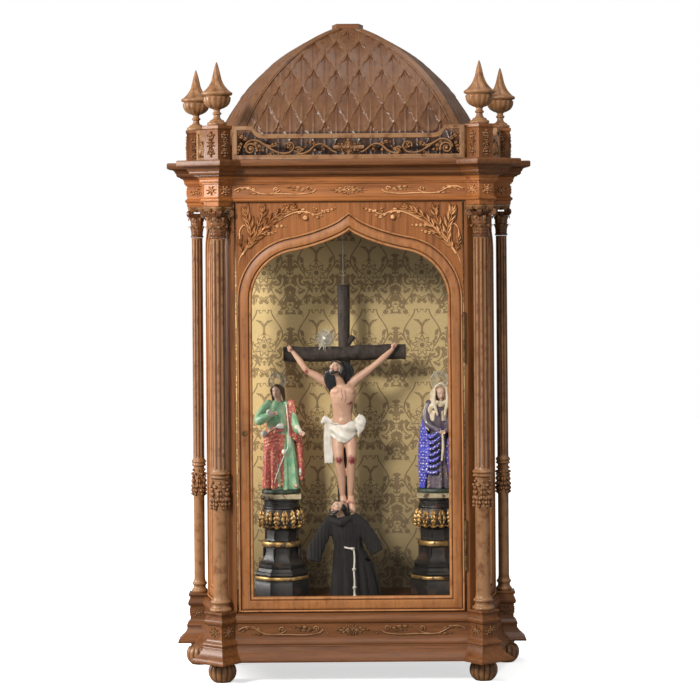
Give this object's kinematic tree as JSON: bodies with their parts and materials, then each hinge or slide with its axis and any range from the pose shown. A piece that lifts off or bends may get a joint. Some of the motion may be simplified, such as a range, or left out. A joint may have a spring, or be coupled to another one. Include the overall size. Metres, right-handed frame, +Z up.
{
  "type": "home altar",
  "caption": "Carved wooden home altar with free columns, a domed roof, galleries and finials; a crucifix group stands behind its arched, hinged glass door.",
  "frame": {"origin": "centre of the overall box in plan, on the surface that the feet stand on", "axes": "+Z up, the door faces -Y, +X to the right of someone facing the door"},
  "size_m": [0.738, 0.3578, 1.3021],
  "materials": {
    "carved_wood": "satin varnish",
    "dark_wood": "dark stain",
    "painted_flesh": "painted",
    "saint_paint": "painted",
    "mourner_paint": "painted",
    "damask": "woven",
    "black_cloth": "woven",
    "white_cord": "twisted",
    "clear_glass": "clear",
    "brass": "tarnished",
    "silver": "dull",
    "wire": "painted white"
  },
  "bodies": {
    "case": {"back_panel": "carved_wood", "base": "carved_wood", "capital_front_left": "carved_wood", "capital_front_right": "carved_wood", "capital_rear_left": "carved_wood", "capital_rear_right": "carved_wood", "column_front_left": "carved_wood", "column_front_right": "carved_wood", "column_rear_left": "carved_wood", "column_rear_right": "carved_wood", "cornice": "carved_wood", "cross": "dark_wood", "crucified_figure": "painted_flesh", "damask_lining": "damask", "dome": "carved_wood", "dome_cap": "carved_wood", "entablature": "carved_wood", "finial_front_left": "carved_wood", "finial_front_right": "carved_wood", "finial_rear_left": "carved_wood", "finial_rear_right": "carved_wood", "floor_board": "carved_wood", "foot_front_left": "carved_wood", "foot_front_right": "carved_wood", "foot_rear_left": "carved_wood", "foot_rear_right": "carved_wood", "friar_cord": "white_cord", "friar_habit": "black_cloth", "friar_head": "painted_flesh", "front_stile_left": "carved_wood", "front_stile_right": "carved_wood", "gallery_front": "carved_wood", "gallery_left": "carved_wood", "gallery_right": "carved_wood", "hanging_wire": "wire", "hinge_case_lower": "brass", "hinge_case_upper": "brass", "mourner": "mourner_paint", "mourner_halo": "silver", "nimbus": "silver", "pedestal_left": "dark_wood", "pedestal_right": "dark_wood", "pinnacle_block_front_left": "carved_wood", "pinnacle_block_front_right": "carved_wood", "pinnacle_block_rear_left": "carved_wood", "pinnacle_block_rear_right": "carved_wood", "rear_post_left": "carved_wood", "rear_post_right": "carved_wood", "saint": "saint_paint", "saint_halo": "silver", "side_frame_left": "carved_wood", "side_frame_right": "carved_wood", "side_glass_left": "clear_glass", "side_glass_right": "clear_glass"},
    "door": {"door_frame": "carved_wood", "door_glass": "clear_glass", "escutcheon": "brass", "hinge_door_upper": "brass", "hinge_door_lower": "brass"}
  },
  "joints": [
    {"name": "door_hinge", "type": "hinge", "parent": "case", "child": "door", "pos_m": [0.223, -0.0943, 0.137], "axis": [0, 0, 1], "range_deg": [0, 110]}
  ]
}
